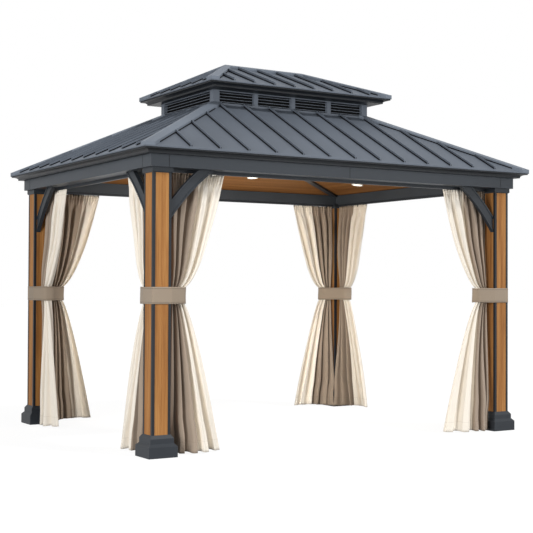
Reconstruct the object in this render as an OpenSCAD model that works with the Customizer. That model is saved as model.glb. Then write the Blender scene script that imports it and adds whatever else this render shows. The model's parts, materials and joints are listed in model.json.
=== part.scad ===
// Hardtop garden gazebo: four clad posts, a ring of beams with curved braces,
// a standing-seam roof in two tiers with a louvred lantern, and tied curtains.
// Millimetres, +Z up, origin on the ground at the middle of the plan.

/* [Plan] */
// Post centre to post centre on the long sides
post_span_x = 3440; // [2800:10:4200]
// Post centre to post centre on the short sides
post_span_y = 2530; // [2200:10:3200]
// Roof edge beyond the post centre line
eave_out = 213; // [190:1:260]

/* [Posts] */
// Width of a square post
post_w = 156; // [130:1:170]
// Height of a post, up to the beams
post_h = 2200; // [1900:10:2600]
// Width of the metal corner strip on each face
strip_w = 22; // [14:1:30]
// Depth of the recess that takes a timber panel
recess_d = 8; // [5:0.5:12]
// Thickness of a timber panel
panel_t = 6; // [3:0.5:8]
// Depth and half width of the groove between a panel's two boards
groove = 2.5; // [1:0.5:3]
// Thickness of the metal behind the panels
post_wall = 4; // [2:0.5:8]
// Height of a panel's foot above the ground
panel_foot = 10; // [2:1:40]

/* [Base covers] */
// Lower tier beyond the post's face
plinth_out = 43; // [32:1:60]
// Height of the lower tier's upright face
plinth_h = 84; // [60:1:120]
// Height of the slope between the two tiers
plinth_slope = 22; // [10:1:40]
// Upper tier beyond the post's face
tier_out = 21; // [12:1:30]
// Height of the upper tier's upright face
tier_h = 38; // [20:1:60]
// Height of the slope from the upper tier to the post
tier_slope = 26; // [10:1:40]
// Gap between a sleeve and the post inside it
sleeve_gap = 0.5; // [0.3:0.1:0.9]

/* [Capitals] */
// Capital collar beyond the post's face
capital_out = 11; // [8:1:22]
// Height of a capital collar
capital_h = 42; // [25:1:60]
// Height of the chamfer under a capital collar
capital_chamfer = 8; // [2:1:14]
// Foot of a capital collar beyond the post's face
capital_foot_out = 3; // [2:1:6]

/* [Beams] */
// Outer face of a beam beyond the post's face
beam_over = 34; // [22:1:50]
// Inner face of a beam short of the post's inner face
beam_short = 18; // [8:1:26]
// Height of a beam
beam_h = 95; // [80:1:140]

/* [Knee braces] */
// Foot of a brace below the beam
brace_drop = 400; // [300:1:450]
// Reach of a brace along the beam from the post's face
brace_reach = 385; // [300:1:450]
// Rise of the brace's curve over its chord
brace_rise = 22; // [15:1:60]
// Width of the curved band
brace_band = 84; // [60:1:100]
// Thickness of the raised edges
brace_t = 36; // [28:1:44]
// Width of each raised edge
brace_edge = 13; // [8:1:20]
// Depth of the web below the raised edges
brace_web_in = 5; // [2:1:8]
// Brace set back from the post's outer face
brace_set = 22; // [18:1:24]

/* [Eave cornice] */
// Height of the cornice under the roof edge
cornice_h = 40; // [36:1:60]
// Foot of the cornice inside the roof edge
cornice_foot = 57; // [45:1:70]
// Upright fascia at the foot of the cornice
cornice_fascia = 8; // [4:1:12]
// Upright lip at the head of the cornice
cornice_lip = 14; // [8:1:18]
// Lip set in from the roof edge
cornice_lip_in = 8; // [4:1:14]
// Gap between the roof sheet and the lip that carries it
seat_gap = 0.2; // [0.1:0.1:0.5]

/* [Roof] */
// Rise of the lower roof from its edge to the lantern
lower_rise = 522; // [400:1:650]
// Rise of the upper roof from its edge to the ridge
upper_rise = 258; // [220:1:360]
// Length of the upper roof's eave
upper_x = 1900; // [1700:10:2100]
// Width of the upper roof's eave
upper_y = 1416; // [1300:2:1600]
// Length of the ridge
ridge_x = 840; // [700:10:900]
// Upright thickness of a roof sheet
sheet_t = 10; // [8:1:14]
// Seams on a long slope of the lower roof
lower_seams_x = 13; // [8:1:14]
// Seams on a short slope of the lower roof
lower_seams_y = 11; // [6:1:14]
// Spacing of the lower roof's seams
lower_pitch = 256; // [200:1:265]
// Seams on a long slope of the upper roof
upper_seams_x = 8; // [4:1:12]
// Seams on a short slope of the upper roof
upper_seams_y = 6; // [3:1:9]
// Spacing of the upper roof's seams
upper_pitch = 205; // [150:1:230]
// Width of a standing seam
seam_w = 9; // [6:1:18]
// Height of a standing seam
seam_h = 27; // [16:1:32]
// Seam ends set in from the roof edge
seam_in = 22; // [10:1:40]
// Width of a hip or ridge cap to each side of its fold
cap_w = 56; // [40:1:80]
// Height of a hip or ridge cap
cap_h = 26; // [20:1:34]

/* [Lantern] */
// Length of the lantern
lantern_x = 1640; // [1500:10:1700]
// Width of the lantern
lantern_y = 1004; // [950:2:1040]
// Height of the lantern between the two roofs
lantern_h = 128; // [100:1:180]
// Depth of the lantern wall below the roof
lantern_skirt = 40; // [20:1:60]
// Thickness of a lantern wall
lantern_t = 34; // [26:1:44]
// Rail above the louvres
lantern_top_rail = 8; // [6:1:24]
// Rail below the louvres
lantern_foot_rail = 18; // [10:1:30]
// Width of an upright between the louvres
lantern_stile = 40; // [24:1:50]
// Width of a corner upright on each face
lantern_corner = 62; // [50:1:90]
// Louvre bays on a long side
bays_x = 4; // [2:1:6]
// Louvre bays on a short side
bays_y = 1; // [1:1:3]
// Slats in a bay
slats = 4; // [3:1:6]
// Thickness of a slat
slat_t = 4; // [3:0.5:6]
// Tilt of a slat
slat_tilt = 14; // [5:1:45]
// Slats set in from the wall's faces
slat_in = 3; // [1:1:6]
// Length of a slat let into the upright at each end
slat_bite = 1; // [0.5:0.5:4]

/* [Ceiling] */
// Thickness of a ceiling panel
ceiling_t = 12; // [8:1:18]
// Rise of the ceiling from the beams to its flat middle
ceiling_rise = 100; // [70:1:140]
// Length of the flat middle panel
middle_x = 1500; // [1200:10:1700]
// Width of the flat middle panel
middle_y = 900; // [700:10:1000]
// How far a ceiling panel bears on the beam
ceiling_bearing = 40; // [20:1:50]
// Joint between ceiling panels
ceiling_joint = 4; // [2:1:8]
// Width of a ceiling batten to each side of its joint
batten_w = 26; // [18:1:40]
// Depth of a ceiling batten
batten_d = 22; // [14:1:34]
// Diameter of a ceiling light
light_d = 96; // [70:1:130]
// Depth of a ceiling light's rim below the panel
light_rim = 7; // [4:1:12]
// Lights on a long slope, from the edge of the middle panel
light_long_in = 135; // [90:1:500]
// Lights on a long slope, from the middle of the slope
light_long_off = 230; // [100:1:500]
// Lights on a short slope, from the edge of the middle panel
light_short_in = 550; // [90:1:650]
// Lights on a short slope, from the middle of the slope
light_short_off = 310; // [100:1:400]

/* [Curtains] */
// Side of the square curtain rail
rail_w = 25; // [18:1:32]
// Rail's middle inside the post centre line
rail_in = 36; // [30:1:44]
// Width of a tied curtain at the rail
curtain_head = 496; // [380:1:620]
// Width of a tied curtain at its tie
curtain_waist = 131; // [90:1:200]
// Width of a tied curtain at its hem
curtain_hem = 436; // [300:1:560]
// Bend of the free edge above the tie, 1 for a straight line
head_curve = 0.55; // [0.45:0.05:1.2]
// Bend of the free edge below the tie, 1 for a straight line
hem_curve = 0.7; // [0.5:0.05:1.2]
// Depth of the curtain's folds
curtain_t = 80; // [60:1:80]
// Outer side of the folds at the rail beyond the post centre line
curtain_out = 4; // [2:1:5]
// Outer side of the folds at the tie set in from the post's outer face
waist_set = 46; // [3:1:60]
// Outer side of the folds at the hem beyond those at the tie
hem_spread = 84; // [10:1:100]
// Hem above the ground
curtain_lift = 26; // [15:1:80]
// Gap between a curtain and what it hangs by
curtain_gap = 0.4; // [0.3:0.1:0.8]
// Room between a curtain and the post beside it
curtain_side = 26; // [24:1:40]
// Room between a curtain and the post's base and the brace's foot
curtain_room = 6; // [3:1:15]
// Underside of a tie band
tie_z = 1160; // [900:10:1400]
// Height of a tie band
tie_h = 130; // [80:1:180]
// Thickness of a tie band
tie_t = 4; // [2:0.5:8]

/* [Hidden] */
$fn = 96;
brace_fn = 720;
cut = 1;
curve_steps = 10;
SIDES = ["front", "right", "back", "left"];
CORNERS = ["front_left", "front_right", "back_right", "back_left"];

metal = "#4d5157";
roof_metal = "#5a5f66";
timber = "#b07f4d";
ceiling_timber = "#93663c";
cloth = "#e8dcc6";
band_cloth = "#a59482";

half = [post_span_x / 2, post_span_y / 2];
eave = [half[0] + eave_out, half[1] + eave_out];
post_r = post_w / 2;
beam_out = post_r + beam_over;
beam_in = post_r - beam_short;
sleeve_r = post_r + sleeve_gap;
plinth_r = post_r + plinth_out;
tier_r = post_r + tier_out;
capital_r = post_r + capital_out;
lantern = [lantern_x / 2, lantern_y / 2];
upper = [upper_x / 2, upper_y / 2];
ridge = ridge_x / 2;
beam_top = post_h + beam_h;
sheet_foot = beam_top + cornice_h;
eave_z = sheet_foot + sheet_t;
lantern_z = eave_z + lower_rise;
upper_foot = lantern_z + lantern_h;
upper_z = upper_foot + cornice_h + sheet_t;
ridge_z = upper_z + upper_rise;
sky = ridge_z + cap_h + seam_h;
middle = [middle_x / 2, middle_y / 2];
ceiling_edge = [half[0] - beam_in + ceiling_bearing, half[1] - beam_in + ceiling_bearing];
ceiling_z = beam_top + ceiling_t;
base_h = plinth_h + plinth_slope + tier_h + tier_slope;
curtain_near = post_r + curtain_side;
waist_out = post_r - waist_set;
hem_out = waist_out + hem_spread;
brace_chord = norm([brace_reach, brace_drop]);
brace_r = (brace_chord * brace_chord / 4 + brace_rise * brace_rise) / (2 * brace_rise);
brace_centre = [brace_reach, -brace_drop] / 2
    + [brace_drop, -brace_reach] / brace_chord * (brace_r - brace_rise);

// Each side is drawn facing -Y and turned into place. A side's long half runs
// along it, and its deep half is its distance from the middle of the plan.
function turn(side) = 90 * search([side], SIDES)[0];
function along(side, size) = (side == "front" || side == "back") ? size[0] : size[1];
function across(side, size) = (side == "front" || side == "back") ? size[1] : size[0];
function corner_turn(corner) = 90 * search([corner], CORNERS)[0];
function corner_place(corner) = [
    (corner == "front_left" || corner == "back_left") ? -half[0] : half[0],
    (corner == "front_left" || corner == "front_right") ? -half[1] : half[1],
    0
];

module at_side(side) {
    rotate([0, 0, turn(side)]) children();
}

// A corner is drawn as the front left one, with its two sides towards +X and +Y
module at_corner(corner) {
    translate(corner_place(corner)) rotate([0, 0, corner_turn(corner)]) children();
}

module at_all_corners() {
    for (corner = CORNERS) at_corner(corner) children();
}

// A profile in the upright plane across a side, swept along the side
module swept(points, length) {
    translate([-length / 2, 0, 0]) rotate([90, 0, 90]) linear_extrude(length) polygon(points);
}

// The same profile on all four faces of a block, with mitred corners
module mitred_block(points_x, points_y, reach) {
    intersection() {
        swept(points_y, 2 * reach);
        rotate([0, 0, 90]) swept(points_x, 2 * reach);
    }
}

function mirrored(points) = concat(points, [for (i = [len(points) - 1:-1:0]) [-points[i][0], points[i][1]]]);

// Posts

module post() {
    face = post_w - 2 * strip_w;
    color(metal) linear_extrude(post_h) difference() {
        square(post_w, center = true);
        for (a = [0:90:270]) rotate(a) translate([-face / 2, post_r - recess_d]) square([face, recess_d + cut]);
        square(post_w - 2 * (recess_d + post_wall), center = true);
    }
}

module panel() {
    face = post_w / 2 - strip_w;
    back = post_r - recess_d;
    front = back + panel_t;
    translate([0, 0, panel_foot]) linear_extrude(post_h - 2 * panel_foot) polygon([
        [-face, back], [face, back], [face, front], [groove, front], [0, front - groove], [-groove, front],
        [-face, front]
    ]);
}

module post_panels() {
    color(timber) at_all_corners() for (a = [0:90:270]) rotate([0, 0, a]) panel();
}

module post_bases() {
    edge = mirrored([
        [-plinth_r, 0], [-plinth_r, plinth_h], [-tier_r, plinth_h + plinth_slope],
        [-tier_r, plinth_h + plinth_slope + tier_h], [-sleeve_r - cut, base_h]
    ]);
    color(metal) at_all_corners() difference() {
        mitred_block(edge, edge, 2 * plinth_r);
        translate([0, 0, base_h / 2]) cube([2 * sleeve_r, 2 * sleeve_r, base_h + 2 * cut], center = true);
    }
}

module post_capitals() {
    edge = mirrored([
        [-post_r - capital_foot_out, post_h - capital_h],
        [-capital_r, post_h - capital_h + capital_chamfer], [-capital_r, post_h]
    ]);
    color(metal) at_all_corners() difference() {
        mitred_block(edge, edge, 2 * capital_r);
        translate([0, 0, post_h]) cube([2 * sleeve_r, 2 * sleeve_r, 3 * capital_h], center = true);
    }
}

// Beams and braces

// Plan of a piece that runs round the building between two lines, cut at 45 degrees
module mitred_plan(side, size, out, in) {
    polygon([
        [-along(side, size) - out, -across(side, size) - out],
        [along(side, size) + out, -across(side, size) - out],
        [along(side, size) - in, -across(side, size) + in],
        [-along(side, size) + in, -across(side, size) + in]
    ]);
}

module beam(side) {
    color(metal) at_side(side) translate([0, 0, post_h]) linear_extrude(beam_h)
        mitred_plan(side, half, beam_out, beam_in);
}

// Arc through the brace's foot and head, bulging towards the corner
module brace_arc(inner, outer, thick) {
    translate([brace_centre[0], 0, brace_centre[1]]) rotate([90, 0, 0]) difference() {
        cylinder(r = outer, h = thick, center = true, $fn = brace_fn);
        cylinder(r = inner, h = thick + 2 * cut, center = true, $fn = brace_fn);
    }
}

module brace() {
    reach = 2 * brace_reach;
    intersection() {
        union() {
            brace_arc(brace_r, brace_r + brace_band, brace_t - 2 * brace_web_in);
            brace_arc(brace_r, brace_r + brace_edge, brace_t);
            brace_arc(brace_r + brace_band - brace_edge, brace_r + brace_band, brace_t);
        }
        translate([0, -brace_t, -2 * brace_drop]) cube([reach, 2 * brace_t, 2 * brace_drop]);
    }
}

module knee_braces() {
    color(metal) for (side = SIDES, end = [0, 1]) at_side(side) mirror([end, 0, 0])
        translate([-along(side, half) + post_r, -across(side, half) - post_r + brace_set + brace_t / 2, post_h])
            brace();
}

// Cornices

// Profile measured from a roof edge at y = 0 inwards, standing on z = 0
function cornice_edge(head) = concat(
    [[cornice_foot, 0], [cornice_foot, cornice_fascia]],
    [for (a = [15:15:90]) [
        cornice_lip_in + (cornice_foot - cornice_lip_in) * cos(a),
        cornice_fascia + (head - cornice_lip - cornice_fascia) * sin(a)
    ]],
    [[cornice_lip_in, head]]
);

function lip_head(run_a, run_b, rise) = cornice_h + cornice_lip_in * rise / max(run_a, run_b) - seat_gap;

module cornice(side) {
    head = lip_head(eave[0] - lantern[0], eave[1] - lantern[1], lower_rise);
    edge = cornice_edge(head);
    d = across(side, eave);
    profile = concat([for (p = edge) [p[0] - d, p[1]]], [[eave_out - d, head], [eave_out - d, 0]]);
    color(metal) at_side(side) translate([0, 0, beam_top]) intersection() {
        swept(profile, 2 * along(side, eave));
        linear_extrude(2 * cornice_h) mitred_plan(side, eave, 0, eave_out);
    }
}

module upper_cornice() {
    head = lip_head(upper[0] - ridge, upper[1], upper_rise);
    edge = cornice_edge(head);
    color(metal) translate([0, 0, upper_foot]) difference() {
        mitred_block(
            mirrored([for (p = edge) [p[0] - upper[0], p[1]]]),
            mirrored([for (p = edge) [p[0] - upper[1], p[1]]]),
            upper_x
        );
        cube([lantern_x, lantern_y, 4 * cornice_h], center = true);
    }
}

// Roof slopes. A slope has a half length e at depth d0 and height z0 along its
// eave, and a half length l at depth d1 and height z1 along its head.

function hip_gain(s) = (s[0] - s[2]) / (s[1] - s[3]);
function hip_shift(s, w) = w * sqrt(1 + hip_gain(s) * hip_gain(s));
function slope_height(s, d) = s[4] + (s[5] - s[4]) * (s[1] - d) / (s[1] - s[3]);

// Plan of a slope with its hips moved in by w, its eave by low and its head by high
function slope_plan(s, w, low, high) =
    let (
        g = hip_gain(s),
        shift = hip_shift(s, w),
        head = max(0, s[2] + high * g - shift),
        d_head = s[3] + max(high, (shift - s[2]) / g),
        d_foot = s[1] - low,
        foot = s[0] - low * g - shift
    )
    head > 0
        ? [[-foot, -d_foot], [foot, -d_foot], [head, -d_head], [-head, -d_head]]
        : [[-foot, -d_foot], [foot, -d_foot], [0, -d_head]];

// A layer that follows the slope, from low to high above its top surface
module slope_layer(s, low, high, length) {
    swept([[-s[1], s[4] + low], [-s[1], s[4] + high], [-s[3], s[5] + high], [-s[3], s[5] + low]], length);
}

// A sheet with its seams, which stop short of the head by seam_gap
module slope(s, seams, pitch, seam_gap) {
    intersection() {
        slope_layer(s, -sheet_t, 0, 2 * s[0]);
        linear_extrude(sky) polygon(slope_plan(s, 0, 0, 0));
    }
    intersection() {
        for (i = [1:seams]) translate([(i - (seams + 1) / 2) * pitch, 0, 0])
            slope_layer(s, -sheet_t / 2, seam_h, seam_w);
        linear_extrude(sky) polygon(slope_plan(s, cap_w, seam_in, seam_gap));
    }
}

// One half of a hip cap, on the slope's right hand hip
module cap_half(s) {
    shift = hip_shift(s, cap_w);
    intersection() {
        slope_layer(s, 0, cap_h, 2 * s[0]);
        linear_extrude(sky) polygon([
            [s[0] - shift, -s[1]], [s[0], -s[1]], [s[2], -s[3]], [max(0, s[2] - shift), -s[3]]
        ]);
        linear_extrude(sky) polygon(slope_plan(s, 0, 0, 0));
    }
}

function lower_slope(side) = [
    along(side, eave), across(side, eave), along(side, lantern), across(side, lantern), eave_z, lantern_z
];
function upper_slope(side) = [
    along(side, upper), across(side, upper), along(side, [ridge, 0]), across(side, [ridge, 0]), upper_z, ridge_z
];

module lower_roof(side) {
    seams = along(side, [lower_seams_x, lower_seams_y]);
    color(roof_metal) at_side(side) slope(lower_slope(side), seams, lower_pitch, 0);
}

module upper_roof(side) {
    seams = along(side, [upper_seams_x, upper_seams_y]);
    color(roof_metal) at_side(side) slope(upper_slope(side), seams, upper_pitch, along(side, [cap_w, 0]));
}

module lower_hip_caps() {
    color(roof_metal) for (side = SIDES, end = [0, 1]) at_side(side) mirror([end, 0, 0])
        cap_half(lower_slope(side));
}

module upper_caps() {
    color(roof_metal) {
        for (side = SIDES, end = [0, 1]) at_side(side) mirror([end, 0, 0]) cap_half(upper_slope(side));
        for (side = ["front", "back"]) at_side(side) intersection() {
            slope_layer(upper_slope(side), 0, cap_h, 2 * ridge);
            translate([0, -cap_w / 2, ridge_z]) cube([ridge_x, cap_w, 2 * upper_rise], center = true);
        }
    }
}

// Lantern

module lantern_wall(side) {
    long = along(side, [1, 0]) == 1;
    butt = long ? 0 : lantern_t;
    length = 2 * along(side, lantern) - 2 * butt;
    corner = lantern_corner - butt;
    bays = long ? bays_x : bays_y;
    foot = lantern_z - lantern_skirt;
    clear_h = lantern_h - lantern_top_rail - lantern_foot_rail;
    sill = lantern_z + lantern_foot_rail;
    bay = (length - 2 * corner + lantern_stile) / bays;
    clear_w = bay - lantern_stile;
    pitch = clear_h / slats;
    slat_d = (lantern_t - 2 * slat_in) / cos(slat_tilt) - slat_t;
    color(metal) at_side(side) translate([0, -across(side, lantern), 0]) {
        difference() {
            translate([-length / 2, 0, foot]) cube([length, lantern_t, upper_foot - foot]);
            for (i = [0:bays - 1])
                translate([-length / 2 + corner + i * bay, -cut, sill])
                    cube([clear_w, lantern_t + 2 * cut, clear_h]);
        }
        for (i = [0:bays - 1], j = [0:slats - 1])
            translate([
                -length / 2 + corner + i * bay + clear_w / 2, lantern_t / 2,
                sill + (j + 0.5) * pitch
            ])
                rotate([slat_tilt, 0, 0]) cube([clear_w + 2 * slat_bite, slat_d, slat_t], center = true);
    }
}

// Ceiling

function ceiling_slope(side) = [
    along(side, ceiling_edge), across(side, ceiling_edge), along(side, middle), across(side, middle),
    ceiling_z, ceiling_z + ceiling_rise
];

module ceiling_panels() {
    color(ceiling_timber) {
        for (side = SIDES) at_side(side) intersection() {
            slope_layer(ceiling_slope(side), -ceiling_t, 0, post_span_x);
            linear_extrude(sky) polygon(slope_plan(ceiling_slope(side), ceiling_joint / 2, 0, 0));
        }
        translate([0, 0, ceiling_z + ceiling_rise - ceiling_t / 2])
            cube([middle_x - 2 * ceiling_joint, middle_y - 2 * ceiling_joint, ceiling_t], center = true);
    }
}

module batten_half(s) {
    shift = hip_shift(s, batten_w);
    foot = s[1] - ceiling_bearing;
    inner = s[0] - ceiling_bearing * hip_gain(s);
    intersection() {
        slope_layer(s, -ceiling_t - batten_d, -ceiling_t, 2 * s[0]);
        linear_extrude(sky) polygon([
            [inner - shift, -foot], [inner, -foot], [s[2], -s[3]], [s[2] - shift, -s[3]]
        ]);
    }
}

module ceiling_battens() {
    low = ceiling_z + ceiling_rise - ceiling_t - batten_d;
    color(metal) {
        for (side = SIDES, end = [0, 1]) at_side(side) mirror([end, 0, 0]) batten_half(ceiling_slope(side));
        difference() {
            translate([-middle[0], -middle[1], low]) cube([middle_x, middle_y, batten_d]);
            translate([-middle[0] + batten_w, -middle[1] + batten_w, low - cut])
                cube([middle_x - 2 * batten_w, middle_y - 2 * batten_w, batten_d + 2 * cut]);
        }
    }
}

module ceiling_lights() {
    color("white") for (side = SIDES, hand = [-1, 1]) {
        s = ceiling_slope(side);
        d = s[3] + along(side, [light_long_in, light_short_in]);
        off = hand * along(side, [light_long_off, light_short_off]);
        at_side(side) translate([off, -d, slope_height(s, d) - ceiling_t])
            rotate([atan2(s[5] - s[4], s[1] - s[3]), 0, 0])
                translate([0, 0, -light_rim]) cylinder(d = light_d, h = light_rim);
    }
}

// Curtains

module curtain_rails() {
    color(metal) for (side = SIDES) at_side(side)
        translate([0, -across(side, half) + rail_in, post_h - rail_w / 2])
            cube([2 * along(side, half) - 2 * capital_r, rail_w, rail_w], center = true);
}

// Front outline from the post outwards: the free edge sweeps in to the tie and out
// to the hem. Side outline from outside to inside: the folds spread towards the hem.
module curtain(side, end) {
    head_z = post_h - rail_w - curtain_gap;
    near = curtain_near;
    foot = max(near, plinth_r + curtain_room);
    waist = near + curtain_waist;
    tie_top = tie_z + tie_h;
    base_clear = base_h + curtain_room;
    above = [for (t = [0:1 / curve_steps:1]) [
        waist + (curtain_head - curtain_waist) * pow(1 - t, head_curve), head_z + (tie_top - head_z) * t
    ]];
    below = [for (t = [0:1 / curve_steps:1]) [
        waist + (curtain_hem - curtain_waist) * pow(t, hem_curve), tie_z + (curtain_lift - tie_z) * t
    ]];
    inside = curtain_t - curtain_out;
    waist_in = curtain_t - waist_out;
    free_z = post_h - brace_drop - curtain_room;
    front = concat(
        [[near, head_z]], above, below,
        [[foot, curtain_lift], [foot, plinth_h + plinth_slope], [near, base_clear]]
    );
    flank = [
        [-curtain_out, head_z], [-curtain_out, free_z], [-waist_out, tie_top], [-waist_out, tie_z],
        [-hem_out, curtain_lift], [waist_in, curtain_lift], [waist_in, tie_top], [inside, free_z],
        [inside, head_z]
    ];
    color(cloth) at_side(side) mirror([end, 0, 0])
        translate([-along(side, half), -across(side, half), 0]) intersection() {
            translate([0, curtain_t, 0]) rotate([90, 0, 0]) linear_extrude(2 * hem_out + curtain_t) polygon(front);
            rotate([90, 0, 90]) linear_extrude(2 * along(side, half)) polygon(flank);
        }
}

// Band round the post and the two curtains gathered beside it
function tie_ring(grow) =
    let (
        near = post_r + sleeve_gap + grow,
        far = curtain_near + curtain_waist + curtain_gap + grow,
        out = waist_out + curtain_gap + grow,
        in = curtain_t - waist_out + curtain_gap + grow
    )
    [[-near, -near], [near, -near], [far, -out], [far, in], [in, far], [-out, far], [-near, near]];

module tie(corner) {
    color(band_cloth) at_corner(corner) translate([0, 0, tie_z]) linear_extrude(tie_h) difference() {
        polygon(tie_ring(tie_t));
        polygon(tie_ring(0));
    }
}

for (corner = CORNERS) {
    at_corner(corner) post();
    tie(corner);
}
post_panels();
post_bases();
post_capitals();
for (side = SIDES) {
    beam(side);
    cornice(side);
    lower_roof(side);
    upper_roof(side);
    lantern_wall(side);
    curtain(side, 0);
    curtain(side, 1);
}
knee_braces();
lower_hip_caps();
upper_cornice();
upper_caps();
ceiling_panels();
ceiling_battens();
ceiling_lights();
curtain_rails();
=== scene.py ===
import json
import math
import random

import bmesh
import bpy
from mathutils import Matrix, Vector

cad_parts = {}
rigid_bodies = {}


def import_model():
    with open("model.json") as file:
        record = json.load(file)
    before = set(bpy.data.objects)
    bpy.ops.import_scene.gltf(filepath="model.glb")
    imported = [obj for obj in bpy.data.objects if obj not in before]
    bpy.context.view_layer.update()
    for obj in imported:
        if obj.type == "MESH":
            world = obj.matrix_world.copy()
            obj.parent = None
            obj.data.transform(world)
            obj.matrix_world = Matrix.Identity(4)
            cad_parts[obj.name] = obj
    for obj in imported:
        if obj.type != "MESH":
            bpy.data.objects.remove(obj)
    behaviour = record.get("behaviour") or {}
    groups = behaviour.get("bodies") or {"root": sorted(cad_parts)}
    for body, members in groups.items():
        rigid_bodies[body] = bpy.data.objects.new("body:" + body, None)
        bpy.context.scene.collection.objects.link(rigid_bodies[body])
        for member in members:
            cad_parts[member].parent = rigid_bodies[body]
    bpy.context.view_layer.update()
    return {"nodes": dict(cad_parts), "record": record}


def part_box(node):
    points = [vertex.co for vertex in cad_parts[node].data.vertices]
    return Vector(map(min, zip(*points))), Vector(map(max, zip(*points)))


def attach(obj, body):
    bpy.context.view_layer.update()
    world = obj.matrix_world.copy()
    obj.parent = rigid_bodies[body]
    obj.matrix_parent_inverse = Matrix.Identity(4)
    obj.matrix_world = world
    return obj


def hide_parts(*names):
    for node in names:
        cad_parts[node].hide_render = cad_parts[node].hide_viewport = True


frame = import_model()
scene = bpy.context.scene
scene.view_settings.view_transform = "Standard"
print("frame loaded,", len(frame["nodes"]), "nodes")


# shader maths on sockets

class Wire:
    def __init__(self, finish, socket):
        self.finish = finish
        self.socket = socket

    def maths(self, operation, a, b=0.0):
        return self.finish.node("ShaderNodeMath", {"operation": operation}, {0: a, 1: b}, "Value")

    def __add__(self, other):
        return self.maths("ADD", self, other)

    def __radd__(self, other):
        return self.maths("ADD", other, self)

    def __sub__(self, other):
        return self.maths("SUBTRACT", self, other)

    def __rsub__(self, other):
        return self.maths("SUBTRACT", other, self)

    def __mul__(self, other):
        return self.maths("MULTIPLY", self, other)

    def __rmul__(self, other):
        return self.maths("MULTIPLY", other, self)

    def __truediv__(self, other):
        return self.maths("DIVIDE", self, other)

    def __gt__(self, other):
        return self.maths("GREATER_THAN", self, other)

    def __lt__(self, other):
        return self.maths("LESS_THAN", self, other)

    def __abs__(self):
        return self.maths("ABSOLUTE", self)

    def frac(self):
        return self.maths("FRACT", self)

    def floor(self):
        return self.maths("FLOOR", self)

    def sine(self):
        return self.maths("SINE", self)


class Finish:
    def __init__(self, name):
        self.material = bpy.data.materials.new(name)
        self.material.use_nodes = True
        self.tree = self.material.node_tree
        self.shader = self.tree.nodes["Principled BSDF"]

    def put(self, socket, value):
        if isinstance(value, Wire):
            self.tree.links.new(value.socket, socket)
        else:
            socket.default_value = value

    def node(self, kind, settings, sockets, out=0):
        made = self.tree.nodes.new(kind)
        for key, value in settings.items():
            if key == "stops":
                ramp = made.color_ramp.elements
                while len(ramp) < len(value):
                    ramp.new(0.5)
                for stop, (place, colour) in zip(ramp, value):
                    stop.position = place
                    stop.color = (*colour, 1.0)
            else:
                setattr(made, key, value)
        for key, value in sockets.items():
            self.put(made.inputs[key], value)
        return Wire(self, made.outputs[out])

    def objectPlace(self):
        return self.node("ShaderNodeTexCoord", {}, {}, "Object")

    def uvPlace(self):
        return self.node("ShaderNodeTexCoord", {}, {}, "UV")

    def parts(self, vector):
        split = self.tree.nodes.new("ShaderNodeSeparateXYZ")
        self.put(split.inputs[0], vector)
        return [Wire(self, out) for out in split.outputs]

    def stretched(self, vector, scale):
        return self.node("ShaderNodeMapping", {}, {"Vector": vector, "Scale": scale}, "Vector")

    def noise(self, vector, scale, detail=2.0, rough=0.5):
        sockets = {"Vector": vector, "Scale": scale, "Detail": detail, "Roughness": rough}
        return self.node("ShaderNodeTexNoise", {}, sockets)

    def joined(self, x, y, z):
        return self.node("ShaderNodeCombineXYZ", {}, {0: x, 1: y, 2: z})

    def grey(self, shade):
        return self.node("ShaderNodeCombineColor", {}, {0: shade, 1: shade, 2: shade})

    def blend(self, factor, a, b, how="MIX"):
        settings = {"data_type": "RGBA", "blend_type": how, "clamp_factor": True}
        return self.node("ShaderNodeMix", settings, {0: factor, 6: a, 7: b}, 2)

    def ramp(self, value, stops):
        return self.node("ShaderNodeValToRGB", {"stops": stops}, {"Fac": value}, "Color")

    def bump(self, height, strength, distance):
        sockets = {"Height": height, "Strength": strength, "Distance": distance}
        self.put(self.shader.inputs["Normal"], self.node("ShaderNodeBump", {}, sockets, "Normal"))

    def set(self, **values):
        for key, value in values.items():
            self.put(self.shader.inputs[key.replace("_", " ")], value)
        return self


def rgb(red, green, blue):
    def linear(c):
        c = c / 255
        return c / 12.92 if c <= 0.04045 else ((c + 0.055) / 1.055) ** 2.4
    return (linear(red), linear(green), linear(blue))


def solid(colour):
    return (*colour, 1.0)


def shaded(colour, share):
    return tuple(c * share for c in colour)


# metal

coatLook = {
    "frame": {"colour": rgb(47, 51, 56), "rough": 0.44},
    # beam: the frame's metal painted lighter, painted light on the beams' faces
    "beam": {"colour": rgb(64, 69, 75), "rough": 0.44},
    # strip: the frame's metal painted darker, painted shade on the post strips and on the cornices under the
    # eaves
    "strip": {"colour": rgb(35, 38, 42), "rough": 0.40},
    "roof": {"colour": rgb(98, 105, 115), "rough": 0.56},
    # cap: the roof sheet painted lighter, painted highlight on the ridge and hip caps
    "cap": {"colour": rgb(114, 122, 133), "rough": 0.56},
    # lantern: painted lighter, painted light on the louvre frame, which sits in the upper roof's shade
    "lantern": {"colour": rgb(102, 109, 119), "rough": 0.44},
    # joint: near black, for the beams' joint lines and for painted shade in the strips beside the roof seams
    "joint": {"colour": rgb(22, 23, 26), "rough": 0.6},
    # screen: near black, painted shade behind the louvres
    "louvreShade": {"colour": rgb(9, 10, 11), "rough": 0.9},
}
coatGrain = {
    "cloud": 1.7, "speck": 420.0, "peel": 160.0,  # scales of the noises
    "swing": 0.1,        # how much lighter and darker the colour goes
    "roughSwing": 0.12,
    "specular": 0.16,
    "bump": 0.10, "bumpDepth": 0.0006,
}


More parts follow.
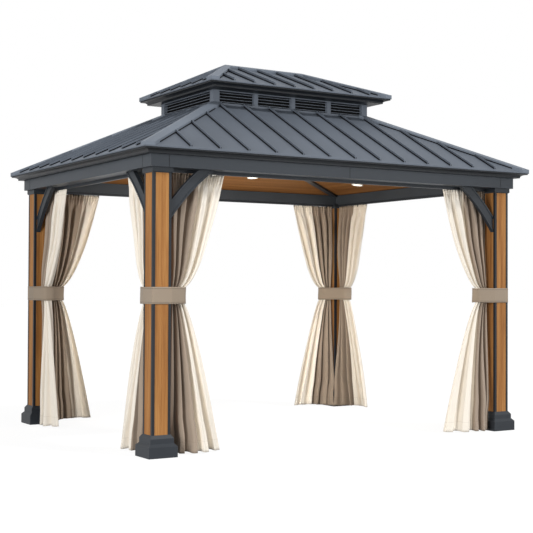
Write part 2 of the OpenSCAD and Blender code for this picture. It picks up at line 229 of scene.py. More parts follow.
def powderCoat(name, look, grain):
    coat = Finish(name)
    place = coat.objectPlace()
    cloud = coat.noise(place, grain["cloud"], 3.0)
    speck = coat.noise(place, grain["speck"], 1.0)
    peel = coat.noise(place, grain["peel"], 2.0)
    dark = shaded(look["colour"], 1 - grain["swing"])
    light = shaded(look["colour"], 1 + grain["swing"])
    tone = coat.ramp(cloud * 0.8 + speck * 0.2, [(0.35, dark), (0.65, light)])
    rough = look["rough"] - grain["roughSwing"] / 2 + cloud * grain["roughSwing"]
    coat.set(Base_Color=tone, Roughness=rough, Specular_IOR_Level=grain["specular"])
    coat.bump(peel * 0.7 + speck * 0.3, grain["bump"], grain["bumpDepth"])
    return coat.material


# timber

timberLook = {
    "post": {
        "low": rgb(116, 72, 34), "mid": rgb(160, 109, 58), "high": rgb(186, 136, 80),
        "strip": 0.0187,    # width of a lath, metres
        "lathShare": 0.93,  # the rest of its width is the line beside it
        "specular": 0.18, "bump": 0.18, "bumpDepth": 0.0012,
    },
    "ceiling": {
        "low": rgb(97, 60, 28), "mid": rgb(127, 85, 46), "high": rgb(147, 103, 60),
        "board": 0.118,     # width of a board, metres
        "longer": 0.30,     # half the ceiling's length less half its depth, metres
        "boardShare": 0.478, "grooveShade": 0.25, "grooveMix": 0.75,
        "specular": 0.06, "bump": 0.35, "bumpDepth": 0.002,
    },
}


def postTimber(look, middle):
    wood = Finish("postTimber")
    place = wood.objectPlace()
    broad = wood.noise(wood.stretched(place, (22.0, 22.0, 0.9)), 1.0, 4.0, 0.55)
    fibre = wood.noise(wood.stretched(place, (210.0, 210.0, 4.0)), 1.0, 3.0, 0.6)
    pore = wood.noise(wood.stretched(place, (520.0, 520.0, 16.0)), 1.0, 1.0)
    grain = broad * 0.55 + fibre * 0.35 + pore * 0.1
    x, y = wood.parts(place)[:2]
    lineX = ((abs(x) - middle[0]) / look["strip"] + 0.5).frac() > look["lathShare"]
    lineY = ((abs(y) - middle[1]) / look["strip"] + 0.5).frac() > look["lathShare"]
    stops = [(0.32, look["low"]), (0.5, look["mid"]), (0.68, look["high"])]
    colour = wood.blend((lineX + lineY) * 0.5, wood.ramp(grain, stops), solid(look["low"]))
    wood.set(Base_Color=colour, Roughness=0.46 + fibre * 0.2, Specular_IOR_Level=look["specular"])
    wood.bump(fibre * 0.7 + pore * 0.3, look["bump"], look["bumpDepth"])
    return wood.material


def ceilingTimber(look):
    wood = Finish("ceilingTimber")
    x, y = wood.parts(wood.objectPlace())[:2]
    ends = (abs(x) - abs(y)) > look["longer"]  # boards follow the nearest side
    across = y + (x - y) * ends
    along = x + (y - x) * ends
    board = (across / look["board"]).floor()
    broad = wood.noise(wood.joined(along * 1.2, across * 26.0, board * 3.7), 1.0, 4.0, 0.55)
    fibre = wood.noise(wood.joined(along * 6.0, across * 240.0, board * 5.1), 1.0, 2.0, 0.6)
    tone = wood.node("ShaderNodeTexWhiteNoise", {"noise_dimensions": "1D"}, {"W": board}, "Value")
    groove = abs((across / look["board"]).frac() - 0.5) > look["boardShare"]
    grain = broad * 0.5 + fibre * 0.3 + tone * 0.2
    stops = [(0.3, look["low"]), (0.5, look["mid"]), (0.7, look["high"])]
    deep = solid(shaded(look["low"], look["grooveShade"]))
    colour = wood.blend(groove * look["grooveMix"], wood.ramp(grain, stops), deep)
    wood.set(Base_Color=colour, Roughness=0.6 + fibre * 0.2, Specular_IOR_Level=look["specular"])
    wood.bump(fibre * 0.2 - groove, look["bump"], look["bumpDepth"])
    return wood.material


# cloth

clothLook = {
    "cream": rgb(241, 233, 220),
    "taupe": rgb(162, 146, 130),
    "band": rgb(154, 139, 122),
    "seam": 0.54,       # share of the width that is taupe, from the post
    "hem": 0.085,       # stitched hem, metres
    "header": 0.045,    # heading tape, metres
    "thread": 0.0022,   # pitch of the weave, metres
    "line": 0.0022,     # half the width of a stitched line, metres
    "joinLine": 0.002,  # the same where the two colours meet
    "stitch": {"in": 0.013, "pitch": 0.008, "share": 0.62, "shade": 0.55},  # along the bands' edges, metres
    "specular": 0.2,
}


def weave(cloth, place, pitch):
    u, v = cloth.parts(place)[:2]
    warp = (u * (2 * math.pi / pitch)).sine()
    weft = (v * (2 * math.pi / pitch)).sine()
    slub = cloth.noise(cloth.stretched(place, (60.0, 900.0, 1.0)), 1.0, 2.0)
    return u, v, warp * weft, slub


def curtainCloth(look, width, length):
    cloth = Finish("curtainCloth")
    u, v, thread, slub = weave(cloth, cloth.uvPlace(), look["thread"])
    cloud = cloth.noise(cloth.uvPlace(), 5.0, 2.0)
    creamSide = u > look["seam"] * width
    hemLine = abs(v - look["hem"]) < look["line"]
    tapeLine = abs(v - (length - look["header"])) < look["line"]
    seamLine = abs(u - look["seam"] * width) < look["joinLine"]
    edge = hemLine + tapeLine + seamLine
    shade = cloth.grey(0.9 + slub * 0.12 + cloud * 0.08)
    plain = cloth.blend(creamSide, solid(look["taupe"]), solid(look["cream"]))
    toned = cloth.blend(1.0, plain, shade, "MULTIPLY")
    dark = cloth.blend(1.0, toned, (0.6, 0.57, 0.53, 1.0), "MULTIPLY")
    cloth.set(Base_Color=cloth.blend(edge * 0.3, toned, dark), Roughness=0.86 + slub * 0.1,
              Sheen_Weight=0.25, Sheen_Roughness=0.5, Specular_IOR_Level=look["specular"])
    cloth.bump(thread * 0.4 + slub * 0.4 - edge, 0.25, 0.0012)
    return cloth.material


def bandCloth(look, height):
    cloth = Finish("bandCloth")
    u, v, thread, slub = weave(cloth, cloth.uvPlace(), look["thread"])
    sewn = look["stitch"]
    inset = height / 2 - abs(v - height / 2)
    dash = (u / sewn["pitch"]).frac() < sewn["share"]
    stitch = (abs(inset - sewn["in"]) < look["line"]) * (0.55 + 0.45 * dash)
    toned = cloth.blend(1.0, solid(look["band"]), cloth.grey(0.92 + slub * 0.14), "MULTIPLY")
    dark = solid(shaded(look["band"], sewn["shade"]))
    cloth.set(Base_Color=cloth.blend(stitch, toned, dark), Roughness=0.86 + slub * 0.1,
              Sheen_Weight=0.2, Sheen_Roughness=0.5, Specular_IOR_Level=look["specular"])
    cloth.bump(thread * 0.4 + slub * 0.4 - stitch, 0.3, 0.0014)
    return cloth.material


# lights in the ceiling

lampLook = {"lens": rgb(255, 250, 238), "glow": 1.6, "trim": rgb(236, 234, 228)}


def lensFinish(look):
    lens = Finish("lampLens")
    ripple = lens.noise(lens.objectPlace(), 240.0, 1.0)
    lens.set(Base_Color=solid(look["lens"]), Roughness=0.3 + ripple * 0.1)
    lens.set(Emission_Color=solid(look["lens"]), Emission_Strength=look["glow"])
    return lens.material


def trimFinish(look):
    trim = Finish("lampTrim")
    speck = trim.noise(trim.objectPlace(), 300.0, 1.0)
    trim.set(Base_Color=solid(look["trim"]), Roughness=0.3 + speck * 0.1)
    trim.bump(speck, 0.05, 0.0004)
    return trim.material


# sizes taken from the frame, in metres

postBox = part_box("post_front_left")
postMid = [(postBox[0][i] + postBox[1][i]) / 2 for i in range(2)]
half = (-postMid[0], -postMid[1])
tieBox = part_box("tie_front_left")
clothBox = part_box("curtain_front_left")
sideTurn = {"front": 0, "right": 90, "back": 180, "left": 270}
longSides = ("front", "back")
cornerSigns = {
    "front_left": (-1, -1), "front_right": (1, -1), "back_right": (1, 1), "back_left": (-1, 1),
}

materials = {name: powderCoat(f"{name}Coat", look, coatGrain) for name, look in coatLook.items()}
materials["post"] = postTimber(timberLook["post"], half)
materials["ceiling"] = ceilingTimber(timberLook["ceiling"])
materials["lens"] = lensFinish(lampLook)
materials["trim"] = trimFinish(lampLook)
slotFinish = {
    "dark_metal": "frame", "roof_sheet": "roof", "post_timber": "post", "ceiling_timber": "ceiling",
    "light_lens": "lens",
}
# beams, caps and lantern take lighter copies of their metal (painted light); cornices and post strips take a
# darker copy (painted shade)
nodeFinish = {"lower_hip_caps": "cap", "upper_caps": "cap", "upper_cornice": "strip"}
for side in sideTurn:
    nodeFinish[f"lantern_{side}"] = "lantern"
    nodeFinish[f"beam_{side}"] = "beam"
    nodeFinish[f"cornice_{side}"] = "strip"
for corner in cornerSigns:
    nodeFinish[f"post_{corner}"] = "strip"
for part in frame["record"]["subparts"]:
    finish = nodeFinish.get(part["node"], slotFinish.get(part["material_slot"]))
    if finish:
        node = bpy.data.objects[part["node"]]
        node.data.materials.clear()
        node.data.materials.append(materials[finish])
print("materials set")


# pieces

def finishPiece(shape, name, material, smooth=True):
    mesh = bpy.data.meshes.new(name)
    shape.to_mesh(mesh)
    shape.free()
    piece = bpy.data.objects.new(name, mesh)
    scene.collection.objects.link(piece)
    mesh.materials.append(material)
    mesh.polygons.foreach_set("use_smooth", [smooth] * len(mesh.polygons))
    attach(piece, "root")
    return piece


def giveWall(piece, thick):
    wall = piece.modifiers.new("thickness", "SOLIDIFY")
    wall.thickness = thick
    wall.offset = 0.0


def smoothStep(t):
    t = min(1.0, max(0.0, t))
    return t * t * (3 - 2 * t)


def sidePlace(side, end, s, d, z):
    # s runs along the side from the post's middle, d inwards from the post's middle line
    longHalf, deepHalf = half if side in longSides else half[::-1]
    local = Vector(((s - longHalf) * (1 if end == "left" else -1), d - deepHalf, z))
    return Matrix.Rotation(math.radians(sideTurn[side]), 3, "Z") @ local


# curtains

curtainShape = {
    "columns": 176, "rows": 104, "gathers": 19, "minors": 12,
    "folds": [(0.54, 3, 1.0), (0.46, 2, 0.84)],  # share of the width, folds in it, depth; from the post
    "width": 0.94,           # flat width of one panel
    "headDepth": 0.016, "bodyDepth": 0.048, "waistDepth": 0.037, "hemDepth": 0.052,
    "headMiddle": 0.036,     # middle of the folds inside the post line
    "waistMiddle": 0.008, "hemMiddle": -0.004,
    "bracedDepth": 0.390,    # height below the rail that hangs behind the braces
    "flare": 0.064,          # how far the hem's folds swing outwards
    "minorDepth": 0.0055,    # smaller folds between the large ones
    "tuck": 0.122,           # how far the hem goes round the post's base
    "freeLift": 0.008,       # rise of the hem towards the free edge
    "postDrop": 0.005,       # drop of the hem at the post
    "fan": 0.34,             # how much more the free half spreads at the hem
    "omega": 0.088,          # how far each fold rolls over its neighbours
    "drop": 0.002,           # heading tape below the rail
    "hemDrop": 0.012,        # hem below the simple block
    "thick": 0.0022,
    "headBend": 0.6, "hemBend": 0.75,
    "edgeIn": 0.004, "waistIn": 0.012, "hemIn": 0.060,  # inside the simple block's edges
    "baseClear": 0.008,      # gap to the post's base
    "baseTop": 0.30, "baseBlend": 0.18,  # heights over which the edge moves round the base
    "sway": 0.045,           # how far a fold wanders on its way down, as a share of the width
    "gatherDepth": 0.013,    # small pleats under the heading tape
    "lean": 0.22,            # every other fold stands out more
    "ripple": 0.004, "hemRipple": 0.004,
    "tuckShare": 0.45,       # share of the width that goes round the base
}
# each curtain's own reach and swing at the hem, and share of cream
curtainHang = {
    "front_right": {"reach": 0.110, "out": 0.034, "tuck": 0.0},
    "left_right": {"reach": 0.050, "cream": 0.06},
    "left_left": {"cream": 0.10},
    "back_right": {"cream": -0.15},
}


def foldPlan(rng, groups):
    edges, depths = [0.0], [groups[0][2]]
    for share, folds, depth in groups:
        widths = [rng.uniform(0.75, 1.35) for i in range(folds)]
        total = sum(widths)
        for w in widths:
            edges.append(edges[-1] + share * w / total)
            depths.append(depth * rng.uniform(0.74, 1.0))
    return edges, depths


def foldAt(plan, u):
    edges, depths = plan
    u = min(1.0, max(0.0, u))
    for i in range(len(edges) - 1):
        if u <= edges[i + 1] or i == len(edges) - 2:
            t = (u - edges[i]) / (edges[i + 1] - edges[i])
            return i + t, depths[i] + (depths[i + 1] - depths[i]) * smoothStep(t)


def makeCurtain(side, end, seed):
    look = curtainShape
    hang = curtainHang.get(f"{side}_{end}", {})
    tuck, swing = hang.get("tuck", look["tuck"]), hang.get("out", 0.0)
    rng = random.Random(seed)
    plan = foldPlan(rng, look["folds"])
    gathers = foldPlan(rng, [(1.0, look["gathers"], 1.0)])
    minors = foldPlan(rng, [(1.0, look["minors"], 1.0)])
    inwards = 1 if side in ("front", "left") else -1  # which way the narrow valleys point
    folds = len(plan[0]) - 1
    drift = [rng.uniform(0, 2 * math.pi) for i in range(6)]
    zHem, zHead = clothBox[0][2] - look["hemDrop"], clothBox[1][2] - look["drop"]
    tieLow, tieHigh = tieBox[0][2], tieBox[1][2]
    near = clothBox[0][0] + half[0] + look["edgeIn"]
    headFar = clothBox[1][0] + half[0] - look["edgeIn"]
    waistFar = tieBox[1][0] + half[0] - look["waistIn"]
    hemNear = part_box("post_bases")[1][0] - half[0] + look["baseClear"]
    hemFar = headFar - look["hemIn"] + hang.get("reach", 0.0)
    length = zHead - zHem
    shape = bmesh.new()
    uvLayer = shape.loops.layers.uv.new("cloth")
    bmesh.ops.create_grid(shape, x_segments=look["columns"], y_segments=look["rows"], size=1.0)
    for face in shape.faces:
        for loop in face.loops:
            p = loop.vert.co
            across = (p.x + 1) / 2 + hang.get("cream", 0.0)
            loop[uvLayer].uv = (across * look["width"], (p.y + 1) / 2 * length)
    for v in shape.verts:
        u, t = (v.co.x + 1) / 2, (v.co.y + 1) / 2
        z = zHem + t * length
        upper = max(0.0, (z - tieHigh) / (zHead - tieHigh))
        lower = max(0.0, (tieLow - z) / (tieLow - zHem))
        if lower == 0.0:
            x0 = near
            x1 = waistFar + (headFar - waistFar) * upper ** look["headBend"]
            depth = look["waistDepth"] + (look["bodyDepth"] - look["waistDepth"]) * smoothStep(upper * 4)
            depth += (look["headDepth"] - look["bodyDepth"]) * smoothStep((upper - 0.7) / 0.3)
        else:
            x0 = near + (hemNear - near) * smoothStep((look["baseTop"] - z) / look["baseBlend"])
            x1 = waistFar + (hemFar - waistFar) * lower ** look["hemBend"]
            depth = look["waistDepth"] + (look["hemDepth"] - look["waistDepth"]) * smoothStep(lower * 1.3)
        loose = max(upper, lower)
        wander = loose * (1 - 0.7 * smoothStep((upper - 0.8) / 0.2))
        sway = look["sway"] * wander * math.sin(2.6 * t * math.pi + 5 * u + drift[0]) * u * (1 - u) * 4
        phase, size = foldAt(plan, u + sway * 0.5)
        wave = inwards * (2 * (0.5 + 0.5 * inwards * math.sin(2 * math.pi * phase)) ** 1.5 - 0.85)
        roll = math.sin(4 * math.pi * phase)
        size *= 0.92 + 0.22 * math.sin(3.1 * t * math.pi + 2.4 * phase + drift[1])
        size *= 1 - 0.55 * lower * (1 - smoothStep(u / 0.25))
        gatherPhase, gatherSize = foldAt(gathers, u)
        pinch = smoothStep((upper - 0.84) / 0.12)
        fine = math.sin(2 * math.pi * gatherPhase)
        outwards = smoothStep((zHead - look["bracedDepth"] - z) / (zHead - look["bracedDepth"] - tieHigh))
        middle = look["headMiddle"] + (look["waistMiddle"] - look["headMiddle"]) * outwards
        middle += (look["hemMiddle"] - look["waistMiddle"]) * lower
        wave += look["lean"] * loose * math.sin(math.pi * phase + drift[2])
        y = middle + min(depth, depth * size) * wave / (1 + look["lean"] * loose) * (1 - 0.3 * pinch)
        y += look["gatherDepth"] * pinch * gatherSize * fine
        minorPhase, minorSize = foldAt(minors, u + sway * 0.3)
        minor = look["minorDepth"] * minorSize * math.sin(2 * math.pi * minorPhase)
        y += minor * (0.35 + 0.65 * loose) * (1 - pinch)
        ripple = look["ripple"] * wander * math.sin(7.0 * t + 9.0 * u + drift[3])
        y += ripple * math.sin(5.0 * t - 4.0 * u + drift[4])
        y += tuck * lower ** 1.2 * max(0.0, 1 - u / look["tuckShare"]) ** 1.5 - swing * lower
        y -= look["flare"] * lower ** 1.15 * math.sin(math.pi * u ** 1.5)
        pitch = (x1 - x0) / folds
        overlap = look["omega"] * pitch * roll * min(1.0, 0.35 + loose * 1.5) * (1 - 0.8 * pinch)
        x = x0 + (x1 - x0) * u ** (1 + look["fan"] * lower) - overlap
        x = min(max(x, x0 - 0.002), x1 + 0.004)
        low = max(0.0, 1 - t * 5)
        lift = low * (look["freeLift"] * u - look["postDrop"] * (1 - u) ** 3 + look["hemRipple"] * wave)
        v.co = sidePlace(side, end, x, y, min(zHead, z + lift))
    piece = finishPiece(shape, f"cloth_{side}_{end}", materials["curtain"])
    giveWall(piece, look["thick"])
    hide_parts(f"curtain_{side}_{end}")


clothLength = clothBox[1][2] - clothBox[0][2] - curtainShape["drop"] + curtainShape["hemDrop"]
materials["curtain"] = curtainCloth(clothLook, curtainShape["width"], clothLength)
materials["band"] = bandCloth(clothLook, tieBox[1][2] - tieBox[0][2])
seed = 11
for side in sideTurn:
    for end in ("left", "right"):
        makeCurtain(side, end, seed)
        seed += 7
print("curtains hung")


# tie bands

bandShape = {
    "thick": 0.0035,
    "crease": 0.006, "round": 0.030,    # corners at the post and round the cloth
    "rows": 12, "cuts": 7,
    "wrinkle": 0.0016, "edge": 0.0018,  # waves of the face and of the edges
    "clear": 0.0025, "endIn": 0.002,    # gap to the post, and inside the simple block
    "bundle": 0.040,                    # half the thickness of the tied cloth
    "long": 0.04,                       # edges over this length are divided
    "uvMiddle": 0.06, "uvRadius": 0.2,
}


def makeBand(corner, seed):
    look = bandShape
    rng = random.Random(seed)
    drift = [rng.uniform(0, 2 * math.pi) for i in range(3)]
    signX, signY = cornerSigns[corner]
    near = postBox[1][0] - postMid[0] + look["clear"]
    far = tieBox[1][0] - postMid[0] - look["endIn"]
    outer = look["bundle"] - curtainShape["waistMiddle"] + look["clear"]
    inner = look["bundle"] + curtainShape["waistMiddle"] + look["clear"]
    ring = [(-near, -near), (near, -near), (far, -outer), (far, inner),
            (inner, far), (-outer, far), (-near, near)]
    zLow, zHigh = tieBox[0][2], tieBox[1][2]
    shape = bmesh.new()
    verts = [shape.verts.new((x, y, zLow)) for x, y in ring]
    for i in range(len(verts)):
        shape.edges.new((verts[i], verts[(i + 1) % len(verts)]))
    posts = [verts[0], verts[1], verts[6]]
    for corners, offset, steps in ((verts[2:6], look["round"], 5), (posts, look["crease"], 3)):
        bmesh.ops.bevel(shape, geom=corners, offset=offset, segments=steps, profile=0.5,
                        affect="VERTICES", material=-1)
    longEdges = [e for e in shape.edges if e.calc_length() > look["long"]]
    bmesh.ops.subdivide_edges(shape, edges=longEdges, cuts=look["cuts"])
    loop = list(shape.edges)
    rise = (zHigh - zLow) / look["rows"]
    for row in range(look["rows"]):
        made = bmesh.ops.extrude_edge_only(shape, edges=loop)["geom"]
        loop = [e for e in made if isinstance(e, bmesh.types.BMEdge)]
        fresh = [v for v in made if isinstance(v, bmesh.types.BMVert)]
        bmesh.ops.translate(shape, verts=fresh, vec=(0, 0, rise))
    uvLayer = shape.loops.layers.uv.new("cloth")
    for face in shape.faces:
        for stitch in face.loops:
            p = stitch.vert.co
            angle = math.atan2(p.y - look["uvMiddle"], p.x - look["uvMiddle"])
            stitch[uvLayer].uv = (angle * look["uvRadius"], p.z - zLow)
    for v in shape.verts:
        t = (v.co.z - zLow) / (zHigh - zLow)
        angle = math.atan2(v.co.y, v.co.x)
        free = smoothStep((v.co.x + v.co.y - 0.02) / 0.15)
        push = look["wrinkle"] * free * math.sin(9 * angle + 4 * t + drift[0])
        v.co.x += push * math.cos(angle)
        v.co.y += push * math.sin(angle)
        v.co.z += look["edge"] * free * math.sin(5 * angle + drift[1]) * (t - 0.5) * 2
        v.co = Vector((signX * (half[0] - v.co.x), signY * (half[1] - v.co.y), v.co.z))
    bmesh.ops.recalc_face_normals(shape, faces=shape.faces)
    piece = finishPiece(shape, f"band_{corner}", materials["band"])
    giveWall(piece, look["thick"])
    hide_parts(f"tie_{corner}")


for number, corner in enumerate(cornerSigns):
    makeBand(corner, 5 + number)
print("ties fastened")


# curtain hooks, beam joints and light trims

hookShape = {
    "count": 10, "radius": 0.0045, "length": 0.020, "segments": 10,
    "postGap": 0.018, "freeGap": 0.014,  # first and last hook
    "bite": 0.0004,                      # how far each enters the rail
}
jointShape = {"wide": 0.004, "proud": 0.0008, "fromPost": 0.040, "shorter": 0.002}
lampShape = {
    "places": [(0.230, 0.585), (1.300, 0.310)],
    "lens": 0.048, "ring": 0.011, "proud": 0.003, "steps": 40,
    "lap": 0.002, "lip": 0.003, "sunk": (0.006, 0.007),
}


def makeHooks(look):
    shape = bmesh.new()
    near = clothBox[0][0] + half[0] + look["postGap"]
    far = clothBox[1][0] + half[0] - look["freeGap"]
    middle = clothBox[1][2] - look["length"] / 2 + look["bite"]
    for side in sideTurn:
        for end in ("left", "right"):
            for i in range(look["count"]):
                s = near + (far - near) * i / (look["count"] - 1)
                place = sidePlace(side, end, s, curtainShape["headMiddle"], middle)
                bmesh.ops.create_cone(shape, cap_ends=True, segments=look["segments"],
                                      radius1=look["radius"], radius2=look["radius"],
                                      depth=look["length"], matrix=Matrix.Translation(place))
    finishPiece(shape, "curtain_hooks", materials["frame"])


def makeJoints(look):
    shape = bmesh.new()
    low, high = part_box("beam_front")
    out = half[1] + low[1]
    for side in sideTurn:
        longHalf = half[0] if side in longSides else half[1]
        spots = [look["fromPost"], 2 * longHalf - look["fromPost"]]
        if side in longSides:
            spots.append(longHalf)
        for spot in spots:
            place = sidePlace(side, "left", spot, out, (low[2] + high[2]) / 2)
            turn = Matrix.Rotation(math.radians(sideTurn[side]), 4, "Z")
            tall = high[2] - low[2] - look["shorter"]
            size = Matrix.Diagonal((look["wide"], 2 * look["proud"], tall, 1.0))
            bmesh.ops.create_cube(shape, size=1.0, matrix=Matrix.Translation(place) @ turn @ size)
    finishPiece(shape, "beam_joints", materials["joint"], smooth=False)


def makeTrims(look):
    shape = bmesh.new()
    lens = bpy.data.objects["ceiling_lights"]
    inner, outer, proud = look["lens"], look["lens"] + look["ring"], look["proud"]
    lap, lip, sunk = look["lap"], look["lip"], look["sunk"]
    profile = [(inner - lap, -sunk[0]), (inner - lap, proud * 0.4), (inner + lip, proud),
               (outer - lip, proud * 0.6), (outer, -sunk[1])]
    for x, y in look["places"]:
        for signX, signY in ((-1, -1), (-1, 1), (1, -1), (1, 1)):
            below = Vector((x * signX, y * signY, 1.0))
            spot, normal = lens.ray_cast(below, Vector((0, 0, 1)))[1:3]
            made = [shape.verts.new((r, 0, z)) for r, z in profile]
            edges = [shape.edges.new((made[i], made[i + 1])) for i in range(len(made) - 1)]
            bmesh.ops.spin(shape, geom=made + edges, cent=(0, 0, 0), axis=(0, 0, 1),
                           angle=2 * math.pi, steps=look["steps"], use_merge=True)
            fresh = [v for v in shape.verts if v.tag is False]
            seat = Matrix.Translation(spot) @ normal.to_track_quat("Z", "Y").to_matrix().to_4x4()
            bmesh.ops.transform(shape, matrix=seat, verts=fresh)
            for v in fresh:
                v.tag = True
    bmesh.ops.recalc_face_normals(shape, faces=shape.faces)
    finishPiece(shape, "light_trims", materials["trim"])


# painted shade: dark strips beside the roof seams and along the caps, and a dark sheet behind the louvres

# dark strips standing on both sides of each seam and along the caps' edges: painted shade where the seams'
# sides fall in shadow
seamShadeShape = {
    "wide": 0.0040, "high": 0.011, "sunk": 0.001,
    "step": 0.003,      # how finely the roof is searched, across the slope
    "proud": 0.010,     # a seam stands at least this far above the sheet
    "foot": 0.060,      # the search starts this far from the eave
    "apart": 0.05,      # nearest two seams
    "climb": 0.008, "least": 0.02, "short": 0.010,  # steps up a seam, where they stop, and what is left bare
    "eaveGap": 0.024,
    "hip": {"climb": 0.010, "least": 0.08, "beside": 0.02, "below": 0.12},
}
# a near-black sheet just inside the lantern: painted shade in the gaps between the louvres
louvreShadeShape = {"in": 0.038, "thick": 0.0015, "clear": 0.003}


def roofHit(node, side, s, d):
    turn = Matrix.Rotation(math.radians(sideTurn[side]), 3, "Z")
    above = turn @ Vector((s, -d, 6.0))
    hit, spot, normal, face = bpy.data.objects[node].ray_cast(above, Vector((0, 0, -1)))
    return (spot, normal) if hit else None


# one dark strip on the roof between two points: painted shade
def shadeStrip(shape, look, node, side, start, end):
    first, last = roofHit(node, side, *start), roofHit(node, side, *end)
    if first and last:
        up = first[1]
        along = last[0] - first[0]
        across = up.cross(along).normalized() * look["wide"]
        size = Matrix((along, across, up * look["high"])).transposed().to_4x4()
        middle = (first[0] + last[0]) / 2 + up * (look["high"] / 2 - look["sunk"])
        bmesh.ops.create_cube(shape, size=1.0, matrix=Matrix.Translation(middle) @ size)


def makeSeamShade(look):
    shape = bmesh.new()
    for tier, caps in (("lower", "lower_hip_caps"), ("upper", "upper_caps")):
        for side in sideTurn:
            node = f"{tier}_roof_{side}"
            low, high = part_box(node)
            along, out = (0, 1) if side in longSides else (1, 0)
            eave = max(abs(low[out]), abs(high[out]))
            reach = high[along]
            foot = eave - look["foot"]
            last = int(reach / look["step"])
            row = [i * look["step"] for i in range(-last, last + 1)]
            hits = [(s, roofHit(node, side, s, foot)) for s in row]
            sheet = min(hit[0].z for s, hit in hits if hit)
            raised = [s for s, hit in hits if hit and hit[0].z > sheet + look["proud"]]
            seams = [[raised[0]]]
            for s in raised[1:]:
                if s - seams[-1][-1] > look["apart"]:
                    seams.append([])
                seams[-1].append(s)
            for seam in seams:
                middle = (seam[0] + seam[-1]) / 2
                beside = (seam[-1] - seam[0]) / 2 + look["step"] + look["wide"] / 2
                head = foot
                while head > look["least"]:
                    top = roofHit(node, side, middle, head)
                    base = roofHit(node, side, middle + beside, head)
                    if not top or not base or top[0].z - base[0].z < look["proud"]:
                        break
                    head -= look["climb"]
                for s in (middle - beside, middle + beside):
                    shadeStrip(shape, look, node, side, (s, eave - look["eaveGap"]), (s, head + look["short"]))
            hip = look["hip"]
            head = foot
            while head > hip["least"] and roofHit(node, side, hip["beside"], head):
                head -= hip["climb"]
            for sign in (-1, 1):
                edges = []
                for d in (foot, head + hip["below"]):
                    s = 0.0
                    while s < reach and not roofHit(caps, side, sign * s, d):
                        s += look["step"]
                    edges.append((sign * (s - look["wide"]), d))
                shadeStrip(shape, look, node, side, *edges)
    finishPiece(shape, "seam_shade_strips", materials["joint"], smooth=False)


def makeLouvreShade(look):
    shape = bmesh.new()
    low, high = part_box("lantern_front")
    wide, deep = high[0] - look["in"], -low[1] - look["in"]
    tall = high[2] - low[2] - 2 * look["clear"]
    middle = (low[2] + high[2]) / 2
    longSize = Matrix.Diagonal((2 * wide, look["thick"], tall, 1.0))
    endSize = Matrix.Diagonal((look["thick"], 2 * deep - 2 * look["thick"], tall, 1.0))
    for sign in (-1, 1):
        for place, size in (((0, sign * deep, middle), longSize), ((sign * wide, 0, middle), endSize)):
            bmesh.ops.create_cube(shape, size=1.0, matrix=Matrix.Translation(place) @ size)
    finishPiece(shape, "lantern_louvre_shade", materials["louvreShade"], smooth=False)


makeHooks(hookShape)
makeJoints(jointShape)
makeTrims(lampShape)
makeSeamShade(seamShadeShape)
makeLouvreShade(louvreShadeShape)
print("small pieces added")


# camera, floor and light

shot = {
    "place": (-5.6720, -9.2980, 1.2902),  # solved from posts and roof corners
    "yaw": 0.5503, "pitch": 0.0178, "roll": 0.0040,
    "lens": 78.90, "sensor": 36.0, "clipEnd": 200.0,
}


def placeCamera(look):
    data = bpy.data.cameras.new("camera")
    data.lens = look["lens"]
    data.sensor_width = look["sensor"]
    data.clip_end = look["clipEnd"]
    camera = bpy.data.objects.new("camera", data)
    scene.collection.objects.link(camera)
    yaw, pitch, roll = look["yaw"], look["pitch"], look["roll"]
    ahead = Vector((math.sin(yaw) * math.cos(pitch), math.cos(yaw) * math.cos(pitch), math.sin(pitch)))
    right = Vector((math.cos(yaw), -math.sin(yaw), 0.0))
    up = right.cross(ahead)
    tiltRight = right * math.cos(roll) + up * math.sin(roll)
    tiltUp = up * math.cos(roll) - right * math.sin(roll)
    turn = Matrix((tiltRight, tiltUp, -ahead)).transposed().to_4x4()
    camera.matrix_world = Matrix.Translation(look["place"]) @ turn
    scene.camera = camera


studio = {
    "seen": 1.0, "fill": 0.40,  # the world as it is seen, and as it lights the part
    "floor": 0.28, "floorSize": 60.0,
    "glow": 1.84, "glowShare": 0.50,
    "sun": {"from": (0.36, -0.53, 0.77), "away": 12, "power": 1.65, "spread": 0.10},
    "fills": [
        {"name": "leftFill", "place": (-10.0, -5.5, 2.2), "aim": (0, 0, 1.4),
         "size": 4.0, "power": 720.0},
        {"name": "frontFill", "place": (5.5, -10.0, 1.7), "aim": (0.6, -1.2, 1.8),
         "size": 4.0, "power": 360.0},
        {"name": "innerFill", "place": (-0.9, -0.3, 1.2), "aim": (1.7, 1.3, 1.2),
         "size": 1.2, "power": 44.0, "colour": (1.0, 0.93, 0.82)},
    ],
}


def sunLight(look):
    data = bpy.data.lights.new("keySun", "SUN")
    data.energy = look["power"]
    data.angle = look["spread"]
    lamp = bpy.data.objects.new("keySun", data)
    lamp.location = Vector(look["from"]) * look["away"]
    lamp.rotation_euler = Vector(look["from"]).to_track_quat("Z", "Y").to_euler()
    scene.collection.objects.link(lamp)


def fillLight(look):
    data = bpy.data.lights.new(look["name"], "AREA")
    data.size = look["size"]
    data.energy = look["power"]
    data.color = look.get("colour", (1.0, 1.0, 1.0))
    lamp = bpy.data.objects.new(look["name"], data)
    lamp.location = look["place"]
    aim = Vector(look["aim"]) - Vector(look["place"])
    lamp.rotation_euler = aim.to_track_quat("-Z", "Y").to_euler()
    lamp.visible_camera = False
    scene.collection.objects.link(lamp)


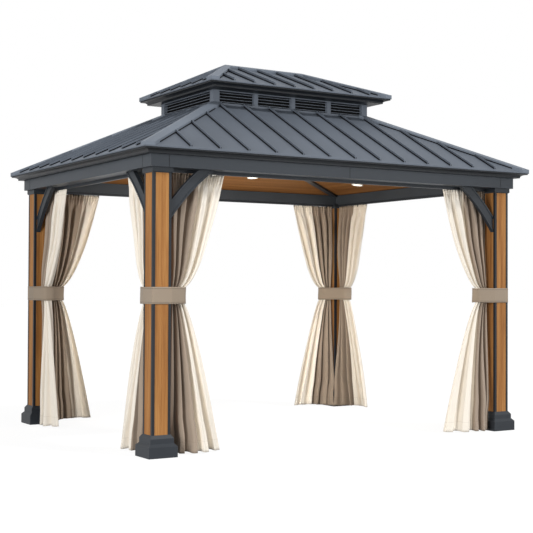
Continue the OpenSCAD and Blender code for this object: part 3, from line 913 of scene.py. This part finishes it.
def seenRays(tree):
    path = tree.nodes.new("ShaderNodeLightPath")
    seen = path.outputs["Is Camera Ray"]
    for kind in ("Is Glossy Ray", "Is Transmission Ray"):
        either = tree.nodes.new("ShaderNodeMath")
        either.operation = "MAXIMUM"
        tree.links.new(seen, either.inputs[0])
        tree.links.new(path.outputs[kind], either.inputs[1])
        seen = either.outputs[0]
    return seen


def paintWorld(look):
    world = bpy.data.worlds.new("studio")
    scene.world = world
    world.use_nodes = True
    tree = world.node_tree
    tree.nodes.clear()
    mix = tree.nodes.new("ShaderNodeMixShader")
    out = tree.nodes.new("ShaderNodeOutputWorld")
    tree.links.new(seenRays(tree), mix.inputs[0])
    for slot, strength in ((1, look["fill"]), (2, look["seen"])):
        white = tree.nodes.new("ShaderNodeBackground")
        white.inputs["Color"].default_value = (1.0, 1.0, 1.0, 1.0)
        white.inputs["Strength"].default_value = strength
        tree.links.new(white.outputs[0], mix.inputs[slot])
    tree.links.new(mix.outputs[0], out.inputs["Surface"])


def layFloor(look):
    shape = bmesh.new()
    bmesh.ops.create_grid(shape, x_segments=1, y_segments=1, size=look["floorSize"])
    mesh = bpy.data.meshes.new("floor")
    shape.to_mesh(mesh)
    shape.free()
    floor = bpy.data.objects.new("floor", mesh)
    scene.collection.objects.link(floor)
    pale = Finish("paleFloor")
    pale.set(Base_Color=solid((look["floor"],) * 3), Roughness=0.9, Specular_IOR_Level=0.0)
    tree = pale.tree
    white = tree.nodes.new("ShaderNodeEmission")
    white.inputs["Strength"].default_value = look["glow"]
    share = tree.nodes.new("ShaderNodeMath")
    share.operation = "MULTIPLY"
    share.inputs[1].default_value = look["glowShare"]  # the rest keeps the object's shadow
    mix = tree.nodes.new("ShaderNodeMixShader")
    out = tree.nodes["Material Output"]
    tree.links.new(seenRays(tree), share.inputs[0])
    tree.links.new(share.outputs[0], mix.inputs[0])
    tree.links.new(pale.shader.outputs[0], mix.inputs[1])
    tree.links.new(white.outputs[0], mix.inputs[2])
    tree.links.new(mix.outputs[0], out.inputs["Surface"])
    mesh.materials.append(pale.material)


placeCamera(shot)
paintWorld(studio)
sunLight(studio["sun"])
for look in studio["fills"]:
    fillLight(look)
layFloor(studio)
print("studio ready")
